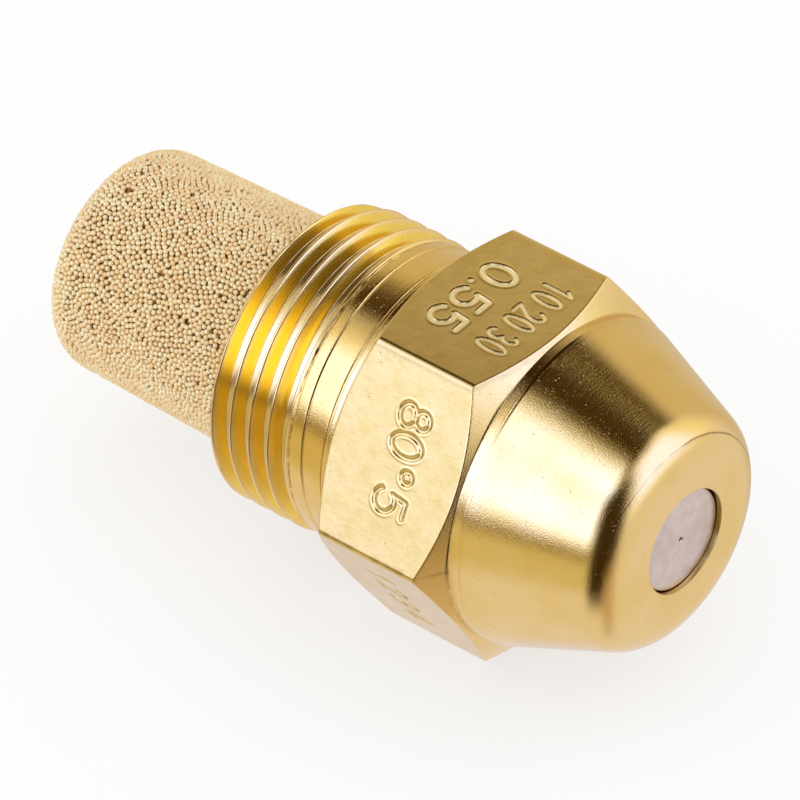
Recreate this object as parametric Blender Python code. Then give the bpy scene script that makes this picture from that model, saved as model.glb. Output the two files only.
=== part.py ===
"""Oil burner nozzle: turned brass body, orifice disc, swirl cone, retaining screw and filter.

Metres, +Z up. The nozzle lies on one flat of its hexagon. Its axis runs along X, with the
spray end at +X and the filter at -X. The origin is under the middle of the whole nozzle,
on the surface it lies on. Stations along the axis are measured from the body's rear face,
which seats in the burner's nozzle holder, and grow towards the spray end.
"""

import math

import bmesh
import bpy
from mathutils import Matrix

# The body is turned from hexagonal bar. Two turned chamfers draw an arc across each flat.
HEX_ACROSS_FLATS = 0.0159
HEX_CORNER_LENGTH = 0.00522
HEX_CHAMFER = math.radians(32.0)

# Threaded shank, drawn at the thread's major diameter, then the run-out, the ring groove,
# the collar and the band behind the hexagon.
THREAD_MAJOR_DIAMETER = 0.01429
THREAD_LENGTH = 0.0043
THREAD_END_CHAMFER = 0.00022
RUNOUT_DIAMETER = 0.0136
RUNOUT_WIDTH = 0.00055
RING_GROOVE_DEPTH = 0.00012
RING_WIDTH = 0.00035
COLLAR_DIAMETER = 0.0141
COLLAR_LENGTH = 0.00125
BAND_DIAMETER = 0.01444
BAND_LENGTH = 0.00041

# Spray end: a narrow land, then a taper with a large round edge and a flat face.
LAND_DIAMETER = 0.01548
LAND_LENGTH = 0.0006
NOSE_BASE_DIAMETER = 0.01543
NOSE_HALF_ANGLE = math.radians(21.1)
NOSE_LENGTH = 0.00625
NOSE_EDGE_RADIUS = 0.00215

# Bores, from the rear face to the spray end.
FILTER_RECESS_DEPTH = 0.001
PLUG_BORE_DIAMETER = 0.0096
PLUG_BORE_LENGTH = 0.0082
SCREW_BORE_DIAMETER = 0.0072
ORIFICE_BORE_DIAMETER = 0.00498
ORIFICE_BORE_LENGTH = 0.00155

# Orifice disc: the spigot shows in the spray end, the flange seats behind it.
DISC_RECESS = 0.00015
DISC_FLANGE_LENGTH = 0.0018
ORIFICE_DIAMETER = 0.0002
ORIFICE_LAND = 0.0003
SWIRL_MOUTH_DIAMETER = 0.0052

# Swirl cone, with tangential slots that spin the oil.
SWIRL_TIP_DIAMETER = 0.0011
SWIRL_BODY_DIAMETER = 0.0060
SWIRL_BODY_LENGTH = 0.0014
SWIRL_STEM_DIAMETER = 0.0026
SWIRL_STEM_LENGTH = 0.0012
SLOT_COUNT = 3
SLOT_WIDTH = 0.00035
SLOT_DEPTH = 0.00035
SLOT_OFFSET = 0.00045

# Retaining screw.
SCREW_THREAD_LENGTH = 0.0030
SCREW_NECK_DIAMETER = 0.0054
SCREW_NECK_LENGTH = 0.0015
SCREW_PASSAGE_DIAMETER = 0.0016
SCREW_DRILL_POINT = math.radians(31.0)
SCREW_CROSS_HOLE_DIAMETER = 0.0009
DRIVER_SLOT_WIDTH = 0.0009
DRIVER_SLOT_DEPTH = 0.0010
SCREW_EDGE_CHAMFER = 0.0002

# Filter plug, which carries the filter and screws into the rear bore.
PLUG_THREAD_LENGTH = 0.0036
PLUG_SPIGOT_LENGTH = 0.0036
PLUG_PASSAGE_DIAMETER = 0.0044
PLUG_EDGE_CHAMFER = 0.0003

# Sintered filter: a tapered cup, closed at the rear.
FILTER_REACH = 0.01138
FILTER_MOUTH_DIAMETER = 0.01122
FILTER_END_DIAMETER = 0.01068
FILTER_WALL = 0.0014
FILTER_END_WALL = 0.0016
FILTER_EDGE_RADIUS = 0.0011

# Clearances: between threads or spigots and their bores, and between faces that meet.
BORE_CLEARANCE = 0.00006
FACE_CLEARANCE = 0.00008
FILTER_RECESS_CLEARANCE = 0.00016

# How far the turned blank and the bar stock run past the finished body.
CROWN_ALLOWANCE = 0.0008

ROUND_SEGMENTS = 72
SMALL_SEGMENTS = 36
ARC_STEPS = 8
SMOOTH_ANGLE = math.radians(28.0)
MERGE_DISTANCE = 1e-7

# Worked out from the sizes above: the body's stations and radii.
HEX_CORNER_RADIUS = HEX_ACROSS_FLATS / math.sqrt(3.0)
RUNOUT_END = THREAD_LENGTH + RUNOUT_WIDTH
RING_END = RUNOUT_END + RING_WIDTH
COLLAR_END = RING_END + COLLAR_LENGTH
HEX_REAR = COLLAR_END + BAND_LENGTH
HEX_CORNER_REAR = HEX_REAR + (HEX_CORNER_RADIUS - BAND_DIAMETER / 2) * math.tan(HEX_CHAMFER)
HEX_CORNER_FRONT = HEX_CORNER_REAR + HEX_CORNER_LENGTH
HEX_FRONT = HEX_CORNER_FRONT + (HEX_CORNER_RADIUS - LAND_DIAMETER / 2) * math.tan(HEX_CHAMFER)
NOSE_BASE = HEX_FRONT + LAND_LENGTH
BODY_LENGTH = NOSE_BASE + NOSE_LENGTH
ORIFICE_SHOULDER = BODY_LENGTH - ORIFICE_BORE_LENGTH
PLUG_BORE_END = FILTER_RECESS_DEPTH + PLUG_BORE_LENGTH
FILTER_RECESS_RADIUS = FILTER_MOUTH_DIAMETER / 2 + FILTER_RECESS_CLEARANCE

# The inner pieces stack up from the shoulder behind the spray end.
DISC_FRONT = BODY_LENGTH - DISC_RECESS
DISC_FLANGE_FRONT = ORIFICE_SHOULDER - FACE_CLEARANCE
DISC_REAR = DISC_FLANGE_FRONT - DISC_FLANGE_LENGTH
SWIRL_APEX = DISC_FRONT - ORIFICE_LAND
SWIRL_SLOPE = (SWIRL_MOUTH_DIAMETER - ORIFICE_DIAMETER) / 2 / (SWIRL_APEX - DISC_REAR)
SWIRL_FRONT_FACE = DISC_REAR - FACE_CLEARANCE
SWIRL_BODY_REAR = SWIRL_FRONT_FACE - SWIRL_BODY_LENGTH
SWIRL_STEM_REAR = SWIRL_BODY_REAR - SWIRL_STEM_LENGTH
SCREW_FRONT = SWIRL_STEM_REAR - FACE_CLEARANCE
SCREW_NECK_REAR = SCREW_FRONT - SCREW_NECK_LENGTH
SCREW_CROSS_HOLE = SCREW_FRONT - SCREW_NECK_LENGTH / 2
SCREW_REAR = SCREW_NECK_REAR - SCREW_THREAD_LENGTH

# The filter and its plug.
PLUG_SHOULDER = FILTER_RECESS_DEPTH + FACE_CLEARANCE
PLUG_FRONT = PLUG_SHOULDER + PLUG_THREAD_LENGTH
PLUG_REAR = PLUG_SHOULDER - PLUG_SPIGOT_LENGTH
FILTER_MOUTH = FILTER_RECESS_DEPTH - FACE_CLEARANCE
FILTER_INNER_RADIUS = FILTER_MOUTH_DIAMETER / 2 - FILTER_WALL

# Where the nozzle lies.
AXIS_HEIGHT = HEX_ACROSS_FLATS / 2
REAR_FACE_X = (FILTER_REACH - BODY_LENGTH) / 2

BRASS = ("brass", (0.80, 0.56, 0.20), 0.26, 1.0)
STEEL = ("steel", (0.60, 0.56, 0.54), 0.34, 1.0)
BRONZE = ("sintered_bronze", (0.70, 0.52, 0.34), 0.55, 1.0)


def arc_points(centre, radius, start_deg, end_deg, steps=ARC_STEPS):
    """Points (station, radius from the axis) along an arc, both ends included."""
    points = []
    for step in range(steps + 1):
        angle = math.radians(start_deg + (end_deg - start_deg) * step / steps)
        points.append((centre[0] + radius * math.cos(angle), centre[1] + radius * math.sin(angle)))
    return points


def revolved_mesh(name, outline, segments, closed=True):
    """Spin an outline of (station, radius) points once round the X axis."""
    bm = bmesh.new()
    verts = [bm.verts.new((station, 0.0, radius)) for station, radius in outline]
    pairs = list(zip(verts, verts[1:]))
    if closed:
        pairs.append((verts[-1], verts[0]))
    edges = [bm.edges.new(pair) for pair in pairs]
    bmesh.ops.spin(
        bm, geom=verts + edges, cent=(0.0, 0.0, 0.0), axis=(1.0, 0.0, 0.0),
        angle=math.tau, steps=segments, use_merge=True, use_duplicate=False,
    )
    bmesh.ops.remove_doubles(bm, verts=bm.verts, dist=MERGE_DISTANCE)
    bmesh.ops.recalc_face_normals(bm, faces=bm.faces)
    return finish_mesh(name, bm)


def boxes_mesh(name, boxes):
    """One mesh of closed boxes, each given as (size, matrix)."""
    bm = bmesh.new()
    for size, matrix in boxes:
        scale = Matrix.Diagonal((size[0], size[1], size[2], 1.0))
        bmesh.ops.create_cube(bm, size=1.0, matrix=matrix @ scale)
    bmesh.ops.recalc_face_normals(bm, faces=bm.faces)
    return finish_mesh(name, bm)


def finish_mesh(name, bm):
    mesh = bpy.data.meshes.new(name)
    bm.to_mesh(mesh)
    bm.free()
    mesh.shade_smooth()
    mesh.set_sharp_from_angle(angle=SMOOTH_ANGLE)
    return mesh


def make_material(look):
    name, colour, roughness, metallic = look
    material = bpy.data.materials.get(name) or bpy.data.materials.new(name)
    material.use_nodes = True
    shader = material.node_tree.nodes["Principled BSDF"]
    shader.inputs["Base Color"].default_value = (*colour, 1.0)
    shader.inputs["Roughness"].default_value = roughness
    shader.inputs["Metallic"].default_value = metallic
    return material


def add_object(mesh, parent):
    obj = bpy.data.objects.new(mesh.name, mesh)
    bpy.context.scene.collection.objects.link(obj)
    obj.parent = parent
    return obj


def add_piece(mesh, look, parent):
    mesh.materials.append(make_material(look))
    return add_object(mesh, parent)


def add_guide(mesh, parent):
    """A cutter, or a shape that joins a piece: it is no piece itself."""
    guide = add_object(mesh, parent)
    guide.display_type = "WIRE"
    guide.hide_render = True
    return guide


def add_boolean(obj, operation, other):
    modifier = obj.modifiers.new(other.name, "BOOLEAN")
    modifier.operation = operation
    modifier.solver = "EXACT"
    modifier.object = other


def add_empty(name, location, parent=None):
    empty = bpy.data.objects.new(name, None)
    bpy.context.scene.collection.objects.link(empty)
    empty.location = location
    empty.parent = parent
    empty.empty_display_size = AXIS_HEIGHT
    return empty


def taper_and_edge(wide, narrow, edge_radius):
    """A cone from the wide end to a flat face at the narrow one, with its edge rounded.

    Each end is (station, radius), the narrow one's radius being where the cone would
    meet the face. Returns the points from the wide end to the face.
    """
    away = math.copysign(1.0, narrow[0] - wide[0])
    taper = math.atan2(wide[1] - narrow[1], abs(narrow[0] - wide[0]))
    centre_x = narrow[0] - away * edge_radius
    cone_r = narrow[1] + edge_radius * math.tan(taper)
    centre = (centre_x, cone_r - edge_radius / math.cos(taper))
    face = 0.0 if away > 0 else 180.0
    start = 90.0 - away * math.degrees(taper)
    return [wide] + arc_points(centre, edge_radius, start, face)


def body_outline():
    """Half section of the body as it is turned, before the bar's flats cut the chamfers."""
    thread_r = THREAD_MAJOR_DIAMETER / 2
    ring_r = COLLAR_DIAMETER / 2 - RING_GROOVE_DEPTH
    land_r = LAND_DIAMETER / 2
    shank = [
        (0.0, thread_r - THREAD_END_CHAMFER),
        (THREAD_END_CHAMFER, thread_r),
        (THREAD_LENGTH, thread_r),
        (THREAD_LENGTH, RUNOUT_DIAMETER / 2),
        (RUNOUT_END, RUNOUT_DIAMETER / 2),
        (RUNOUT_END, ring_r),
        (RING_END, ring_r),
        (RING_END, COLLAR_DIAMETER / 2),
        (COLLAR_END, COLLAR_DIAMETER / 2),
        (COLLAR_END, BAND_DIAMETER / 2),
        (HEX_REAR, BAND_DIAMETER / 2),
    ]
    crown_r = HEX_CORNER_RADIUS + CROWN_ALLOWANCE
    crown = [
        (HEX_CORNER_REAR + CROWN_ALLOWANCE * math.tan(HEX_CHAMFER), crown_r),
        (HEX_CORNER_FRONT - CROWN_ALLOWANCE * math.tan(HEX_CHAMFER), crown_r),
        (HEX_FRONT, land_r),
        (NOSE_BASE, land_r),
    ]
    face_r = NOSE_BASE_DIAMETER / 2 - NOSE_LENGTH * math.tan(NOSE_HALF_ANGLE)
    nose = taper_and_edge((NOSE_BASE, NOSE_BASE_DIAMETER / 2), (BODY_LENGTH, face_r), NOSE_EDGE_RADIUS)
    bore = [
        (BODY_LENGTH, ORIFICE_BORE_DIAMETER / 2),
        (ORIFICE_SHOULDER, ORIFICE_BORE_DIAMETER / 2),
        (ORIFICE_SHOULDER, SCREW_BORE_DIAMETER / 2),
        (PLUG_BORE_END, SCREW_BORE_DIAMETER / 2),
        (PLUG_BORE_END, PLUG_BORE_DIAMETER / 2),
        (FILTER_RECESS_DEPTH, PLUG_BORE_DIAMETER / 2),
        (FILTER_RECESS_DEPTH, FILTER_RECESS_RADIUS),
        (0.0, FILTER_RECESS_RADIUS),
    ]
    return shank + crown + nose + bore


def hexagonal_bar(parent):
    """Bar stock with flats above and below, longer than the body at both ends."""
    bm = bmesh.new()
    span = BODY_LENGTH + 2 * CROWN_ALLOWANCE
    middle = Matrix.Translation((BODY_LENGTH / 2, 0.0, 0.0))
    along_axis = Matrix.Rotation(math.radians(90.0), 4, "Y")
    bmesh.ops.create_cone(
        bm, cap_ends=True, cap_tris=False, segments=6, depth=span, matrix=middle @ along_axis,
        radius1=HEX_CORNER_RADIUS, radius2=HEX_CORNER_RADIUS,
    )
    return add_guide(finish_mesh("hexagonal_bar", bm), parent)


def make_body(root):
    body = add_piece(revolved_mesh("nozzle_body", body_outline(), ROUND_SEGMENTS), BRASS, root)
    add_boolean(body, "INTERSECT", hexagonal_bar(root))


def make_orifice_disc(root):
    flange_r = SCREW_BORE_DIAMETER / 2 - BORE_CLEARANCE
    spigot_r = ORIFICE_BORE_DIAMETER / 2 - BORE_CLEARANCE
    outline = [
        (DISC_FRONT, ORIFICE_DIAMETER / 2),
        (DISC_FRONT, spigot_r),
        (DISC_FLANGE_FRONT, spigot_r),
        (DISC_FLANGE_FRONT, flange_r),
        (DISC_REAR, flange_r),
        (DISC_REAR, SWIRL_MOUTH_DIAMETER / 2),
        (SWIRL_APEX, ORIFICE_DIAMETER / 2),
    ]
    add_piece(revolved_mesh("orifice_disc", outline, SMALL_SEGMENTS), STEEL, root)


def slot_cutter(parent):
    """Boxes laid along the cone and set off its axis, so that each slot feeds in at a tangent."""
    lean = math.atan(SWIRL_SLOPE)
    mouth_r = SWIRL_MOUTH_DIAMETER / 2
    boxes = []
    for index in range(SLOT_COUNT):
        turn = Matrix.Rotation(math.tau * index / SLOT_COUNT, 4, "X")
        place = Matrix.Translation((SWIRL_FRONT_FACE, SLOT_OFFSET, mouth_r))
        tilt = Matrix.Rotation(lean, 4, "Y")
        boxes.append(((4 * mouth_r, SLOT_WIDTH, 2 * SLOT_DEPTH), turn @ place @ tilt))
    return add_guide(boxes_mesh("slot_cutter", boxes), parent)


def make_swirl_cone(root):
    tip_r = SWIRL_TIP_DIAMETER / 2
    mouth_r = SWIRL_MOUTH_DIAMETER / 2
    tip = SWIRL_FRONT_FACE + (mouth_r - tip_r) / SWIRL_SLOPE
    outline = [
        (tip, 0.0),
        (tip, tip_r),
        (SWIRL_FRONT_FACE, mouth_r),
        (SWIRL_FRONT_FACE, SWIRL_BODY_DIAMETER / 2),
        (SWIRL_BODY_REAR, SWIRL_BODY_DIAMETER / 2),
        (SWIRL_BODY_REAR, SWIRL_STEM_DIAMETER / 2),
        (SWIRL_STEM_REAR, SWIRL_STEM_DIAMETER / 2),
        (SWIRL_STEM_REAR, 0.0),
    ]
    cone = add_piece(revolved_mesh("swirl_cone", outline, SMALL_SEGMENTS, closed=False), STEEL, root)
    add_boolean(cone, "DIFFERENCE", slot_cutter(root))


def screw_cutter(parent):
    """The driver slot across the rear face, and the hole across the neck."""
    bm = bmesh.new()
    reach = SCREW_BORE_DIAMETER
    slot = Matrix.Translation((SCREW_REAR, 0.0, 0.0))
    size = Matrix.Diagonal((2 * DRIVER_SLOT_DEPTH, 2 * reach, DRIVER_SLOT_WIDTH, 1.0))
    bmesh.ops.create_cube(bm, size=1.0, matrix=slot @ size)
    bmesh.ops.create_cone(
        bm, cap_ends=True, cap_tris=False, segments=SMALL_SEGMENTS, depth=2 * reach,
        radius1=SCREW_CROSS_HOLE_DIAMETER / 2, radius2=SCREW_CROSS_HOLE_DIAMETER / 2,
        matrix=Matrix.Translation((SCREW_CROSS_HOLE, 0.0, 0.0)),
    )
    return add_guide(finish_mesh("screw_cutter", bm), parent)


def make_retaining_screw(root):
    thread_r = SCREW_BORE_DIAMETER / 2 - BORE_CLEARANCE
    passage_r = SCREW_PASSAGE_DIAMETER / 2
    outline = [
        (SCREW_FRONT, 0.0),
        (SCREW_FRONT, SCREW_NECK_DIAMETER / 2),
        (SCREW_NECK_REAR, SCREW_NECK_DIAMETER / 2),
        (SCREW_NECK_REAR, thread_r - SCREW_EDGE_CHAMFER),
        (SCREW_NECK_REAR - SCREW_EDGE_CHAMFER, thread_r),
        (SCREW_REAR + SCREW_EDGE_CHAMFER, thread_r),
        (SCREW_REAR, thread_r - SCREW_EDGE_CHAMFER),
        (SCREW_REAR, passage_r),
        (SCREW_CROSS_HOLE, passage_r),
        (SCREW_CROSS_HOLE + passage_r * math.tan(SCREW_DRILL_POINT), 0.0),
    ]
    mesh = revolved_mesh("retaining_screw", outline, SMALL_SEGMENTS, closed=False)
    screw = add_piece(mesh, BRASS, root)
    add_boolean(screw, "DIFFERENCE", screw_cutter(root))


def make_filter_plug(joint):
    thread_r = PLUG_BORE_DIAMETER / 2 - BORE_CLEARANCE
    spigot_r = FILTER_INNER_RADIUS - BORE_CLEARANCE
    passage_r = PLUG_PASSAGE_DIAMETER / 2
    outline = [
        (PLUG_FRONT, passage_r),
        (PLUG_FRONT, thread_r - PLUG_EDGE_CHAMFER),
        (PLUG_FRONT - PLUG_EDGE_CHAMFER, thread_r),
        (PLUG_SHOULDER, thread_r),
        (PLUG_SHOULDER, spigot_r),
        (PLUG_REAR + PLUG_EDGE_CHAMFER, spigot_r),
        (PLUG_REAR, spigot_r - PLUG_EDGE_CHAMFER),
        (PLUG_REAR, passage_r),
    ]
    add_piece(revolved_mesh("filter_plug", outline, ROUND_SEGMENTS), BRASS, joint)


def make_sintered_filter(joint):
    """A cup whose wall follows its tapered outside behind the plug's spigot."""
    end_r = FILTER_END_DIAMETER / 2
    outside = taper_and_edge(
        (FILTER_MOUTH, FILTER_MOUTH_DIAMETER / 2), (-FILTER_REACH, end_r), FILTER_EDGE_RADIUS
    )
    inner_end = FILTER_END_WALL - FILTER_REACH
    inner_end_r = end_r - FILTER_WALL
    outline = [(inner_end, 0.0), (inner_end, inner_end_r)]
    outline += [(PLUG_REAR, FILTER_INNER_RADIUS), (FILTER_MOUTH, FILTER_INNER_RADIUS)]
    outline += outside
    outline += [(-FILTER_REACH, 0.0)]
    mesh = revolved_mesh("sintered_filter", outline, ROUND_SEGMENTS, closed=False)
    add_piece(mesh, BRONZE, joint)


def main():
    for obj in list(bpy.data.objects):
        bpy.data.objects.remove(obj, do_unlink=True)
    root = add_empty("nozzle_axis", (REAR_FACE_X, 0.0, AXIS_HEIGHT))
    make_body(root)
    make_orifice_disc(root)
    make_swirl_cone(root)
    make_retaining_screw(root)
    filter_joint = add_empty("filter_joint", (0.0, 0.0, 0.0), root)
    make_filter_plug(filter_joint)
    make_sintered_filter(filter_joint)


main()
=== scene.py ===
import math

import bpy
import numpy as np
from mathutils import Matrix, Vector
from mathutils.kdtree import KDTree


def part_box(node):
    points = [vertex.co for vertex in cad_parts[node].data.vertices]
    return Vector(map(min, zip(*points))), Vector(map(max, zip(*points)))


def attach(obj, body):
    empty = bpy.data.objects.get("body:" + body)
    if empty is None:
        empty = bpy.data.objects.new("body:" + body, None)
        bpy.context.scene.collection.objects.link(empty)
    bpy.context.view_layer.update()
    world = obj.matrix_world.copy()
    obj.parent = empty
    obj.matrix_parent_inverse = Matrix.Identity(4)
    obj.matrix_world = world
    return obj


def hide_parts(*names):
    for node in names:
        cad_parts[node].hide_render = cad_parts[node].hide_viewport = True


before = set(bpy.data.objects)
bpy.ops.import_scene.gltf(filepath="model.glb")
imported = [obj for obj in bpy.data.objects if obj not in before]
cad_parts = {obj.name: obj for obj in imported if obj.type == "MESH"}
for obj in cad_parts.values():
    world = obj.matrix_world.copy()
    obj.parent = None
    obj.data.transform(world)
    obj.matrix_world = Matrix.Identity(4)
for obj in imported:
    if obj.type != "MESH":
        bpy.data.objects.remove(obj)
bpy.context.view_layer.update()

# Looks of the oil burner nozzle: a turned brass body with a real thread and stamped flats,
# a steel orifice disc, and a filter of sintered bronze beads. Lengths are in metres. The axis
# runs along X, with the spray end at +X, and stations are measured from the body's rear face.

MM = 0.001

# Taken from the frame.
body_low, body_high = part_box("nozzle_body")
filter_low, filter_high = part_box("sintered_filter")
disc_low, disc_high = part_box("orifice_disc")
plug_low, plug_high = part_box("filter_plug")
REAR_FACE = body_low.x
BODY_LENGTH = body_high.x - body_low.x
AXIS_HEIGHT = (body_high.z + body_low.z) / 2
HEX_APOTHEM = (body_high.z - body_low.z) / 2
HALF_SIDE = math.radians(30)
FLAT_HALF_WIDTH = HEX_APOTHEM * math.tan(HALF_SIDE)

# Threaded shank and collar.
THREAD_RADIUS = 7.145 * MM
THREAD_PITCH = 25.4 * MM / 24
THREAD_LENGTH = 4.30 * MM
THREAD_START = math.radians(86)
THREAD_FLANK = math.radians(30)
THREAD_CHAMFER = 0.22 * MM
RING_END = 5.20 * MM
COLLAR_END = 6.45 * MM
RUNOUT_START = 4.00 * MM
RUNOUT_FADE = 0.30 * MM
GROOVE_RADIUS = 6.92 * MM
RING_RADIUS = 7.01 * MM
RING_FOOT_RADIUS = 6.96 * MM
COLLAR_RADIUS = 7.00 * MM
SEAM_RADIUS = 6.95 * MM
BAND_START = 6.61 * MM
BAND_RADIUS = 7.22 * MM

# Hexagon and spray end.
HEX_REAR = 6.86 * MM
HEX_CHAMFER = math.radians(32)
NOSE_LENGTH = 6.25 * MM
NOSE_BASE = BODY_LENGTH - NOSE_LENGTH
LAND_LENGTH = 0.60 * MM
LAND_RADIUS = 7.74 * MM
HEX_FRONT = NOSE_BASE - LAND_LENGTH
NOSE_BASE_RADIUS = 7.715 * MM
NOSE_TAPER = math.radians(21.1)
NOSE_EDGE = 2.15 * MM
CORNER_ROUND = 0.30 * MM
EDGE_ROUND = 0.04 * MM
WITNESS_RADIUS = 4.98 * MM
WITNESS_SWELL = 0.25 * MM
# Angles about the axis over which the land and the taper's foot get painted shade.
SHADED_LAND_DEGREES = (84, 113)

# Bores.
DISC_BORE_RADIUS = 2.49 * MM
DISC_SEAT = BODY_LENGTH - 1.55 * MM
SCREW_BORE_RADIUS = 3.60 * MM
PLUG_BORE_RADIUS = 4.80 * MM
PLUG_BORE_END = 9.20 * MM
RECESS_RADIUS = 5.77 * MM
RECESS_DEPTH = 1.00 * MM
SIDE_GAP = 0.06 * MM
SEAT_GAP = 0.08 * MM

# How fine the meshes are.
SHANK_COLUMNS = 272
NOSE_COLUMNS = 256
THREAD_ROW = 0.026 * MM
STAMP_STEP = 0.054 * MM
PLAIN_STEP = 0.22 * MM
STAMPED_END = 3.42 * MM
EDGE_ROWS = 72
EASE_STEPS = 3

BRASS_TURNED, BRASS_FLAT, BRASS_THREAD, BRASS_SHANK = range(4)


# ---- meshes

def swept(x, radius, angle):
    """Points at an X, a radius from the X axis and an angle about it."""
    return np.stack([x, radius * np.cos(angle), radius * np.sin(angle)], axis=-1)


def on_axis(station, radius, angle):
    """Points at a station, a radius from the nozzle's axis and an angle about it."""
    return swept(REAR_FACE + station + 0 * angle, radius, angle) + [0, 0, AXIS_HEIGHT]


def round_axis(count):
    """Even angles for one turn."""
    return math.tau * np.arange(count) / count


def eased_outline(corners, ease, rows):
    """Rows (station, radius) along a line through corners, with each inner corner rounded.

    A corner's station and radius may be arrays, one value for each column. ease holds how much
    each inner corner cuts off, and rows how many rows each straight takes.
    """
    points = [np.stack(np.broadcast_arrays(*map(np.atleast_1d, corner))) for corner in corners]
    made, leave = [points[0]], points[0]
    for index, count in enumerate(rows):
        here = arrive = points[index + 1]
        if index < len(ease):
            back, ahead = points[index] - here, points[index + 2] - here
            back_length, ahead_length = np.hypot(*back), np.hypot(*ahead)
            cut = np.minimum(ease[index], 0.45 * np.minimum(back_length, ahead_length))
            arrive = here + back / back_length * cut
        for row in range(1, count + 1):
            made.append(leave + (arrive - leave) * row / count)
        if index < len(ease):
            leave = here + ahead / ahead_length * cut
            for step in range(1, EASE_STEPS + 1):
                u = step / (EASE_STEPS + 1)
                made.append((1 - u) ** 2 * arrive + 2 * u * (1 - u) * here + u * u * leave)
            made.append(leave)
    return made


def zipped(first, second, first_start, second_start):
    """Triangles between two rings of unlike counts, given the angle of each ring's points."""
    first_next = [*first[1:], first[0] + math.tau, math.inf]
    second_next = [*second[1:], second[0] + math.tau, math.inf]
    faces, i, j = [], 0, 0
    while i < len(first) or j < len(second):
        here = (first_start + i % len(first), second_start + j % len(second))
        if first_next[i] <= second_next[j]:
            i += 1
            faces.append((*here, first_start + i % len(first)))
        else:
            j += 1
            faces.append((*here, second_start + j % len(second)))
    return faces


def raw_mesh(name, verts, corners, starts, slots=None):
    """A smooth mesh from points, the corners of its faces in a row, and where each face starts."""
    mesh = bpy.data.meshes.new(name)
    mesh.vertices.add(len(verts))
    mesh.vertices.foreach_set("co", verts.astype(np.float32).ravel())
    mesh.loops.add(len(corners))
    mesh.loops.foreach_set("vertex_index", corners)
    mesh.polygons.add(len(starts))
    mesh.polygons.foreach_set("loop_start", starts)
    if slots is not None:
        mesh.polygons.foreach_set("material_index", slots.astype(int))
    mesh.update(calc_edges=True)
    mesh.shade_smooth()
    return mesh


def skin(name, rings):
    """One closed surface through rings of points. A ring is (points, angles, material)."""
    starts = np.cumsum([0] + [len(points) for points, _, _ in rings])
    quads, quad_slots, triangles, triangle_slots = [], [], [], []
    for index, (points, angles, slot) in enumerate(rings):
        after = (index + 1) % len(rings)
        count = len(points)
        if count == len(rings[after][0]):
            here, there = starts[index] + np.arange(count), starts[after] + np.arange(count)
            quads.append(np.stack([here, there, np.roll(there, -1), np.roll(here, -1)], axis=1))
            quad_slots.append(np.full(count, slot))
        else:
            strip = zipped(angles, rings[after][1], int(starts[index]), int(starts[after]))
            triangles += strip
            triangle_slots += [slot] * len(strip)
    verts = np.concatenate([points for points, _, _ in rings])
    quads = np.concatenate(quads)
    triangles = np.array(triangles, int).reshape(-1, 3)
    corners = np.concatenate([quads.ravel(), triangles.ravel()])
    sides = [0] + [4] * len(quads) + [3] * len(triangles)
    slots = np.concatenate(quad_slots + [triangle_slots])
    mesh = raw_mesh(name, verts, corners, np.cumsum(sides)[:-1], slots)
    mesh.validate()
    return mesh


def add_piece(mesh, materials, body, slot, *replaced):
    """An object for a mesh, which rides a body and may replace CAD nodes."""
    piece = bpy.data.objects.new(mesh.name, mesh)
    bpy.context.scene.collection.objects.link(piece)
    for material in materials:
        mesh.materials.append(material)
    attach(piece, body)
    if replaced:
        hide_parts(*replaced)


def bump_at(value, place, width):
    """A smooth hump of height one."""
    return np.exp(-((value - place) / width) ** 2)


def plain_rings(rows, angles, slot):
    """Rings from rows of (station, radius)."""
    return [(on_axis(station, radius, angles), angles, slot) for station, radius in rows]


# ---- thread

def thread_profile(off_crest, pitch):
    """Depth below the crest of a 60 degree thread: narrow crest, straight flanks, flat root."""
    crest, root, ease = 0.040 * pitch, 0.13 * pitch, 0.018 * pitch
    steep = 1 / math.tan(THREAD_FLANK)
    foot = 0.5 * pitch - root
    down = np.clip(off_crest - (crest - ease), 0, 2 * ease)
    depth = steep * down * down / (4 * ease)
    depth += steep * np.clip(off_crest - crest - ease, 0, foot - crest - 2 * ease)
    turn = np.clip(off_crest - (foot - ease), 0, 2 * ease)
    return depth + steep * (turn - turn * turn / (4 * ease))


def thread_radius(station, angle, outer, pitch):
    """Radius of a right-hand thread."""
    turns = station / pitch - (angle - THREAD_START) / math.tau
    off_crest = np.abs(turns - np.round(turns)) * pitch
    return outer - thread_profile(off_crest, pitch)


def thread_rings(angles):
    """The shank from the rear face to the end of the thread's run-out."""
    count = int(THREAD_LENGTH / THREAD_ROW)
    rings = []
    for row in range(count + 1):
        station = THREAD_LENGTH * row / count
        radius = thread_radius(station, angles, THREAD_RADIUS, THREAD_PITCH)
        radius = np.minimum(radius, THREAD_RADIUS - THREAD_CHAMFER + station)
        fade = np.clip((station - RUNOUT_START) / RUNOUT_FADE, 0, 1)
        radius = radius + (GROOVE_RADIUS - radius) * fade * fade * (3 - 2 * fade)
        rings.append((on_axis(station, radius, angles), angles, BRASS_THREAD))
    return rings


def ripple(angles, seed, waves, rough=0.75):
    """A closed random wave round the axis, from about -1 to 1."""
    rng = np.random.default_rng(seed)
    total, size, whole = 0 * angles, 1.0, 0.0
    for wave in waves:
        total = total + size * np.sin(wave * angles + rng.uniform(0, math.tau))
        whole += size * size
        size *= rough
    return total / math.sqrt(whole)


def tool_lead(angles):
    """How far the tool's path drifts along the axis, because it ran out in a helix."""
    late = np.clip((angles - math.radians(150)) / math.radians(30), 0, 1)
    early = np.clip((math.radians(270) - angles) / math.radians(60), 0, 1)
    return 0.17 * MM * np.sin(angles - math.radians(135)) + 0.12 * MM * late * early


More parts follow.
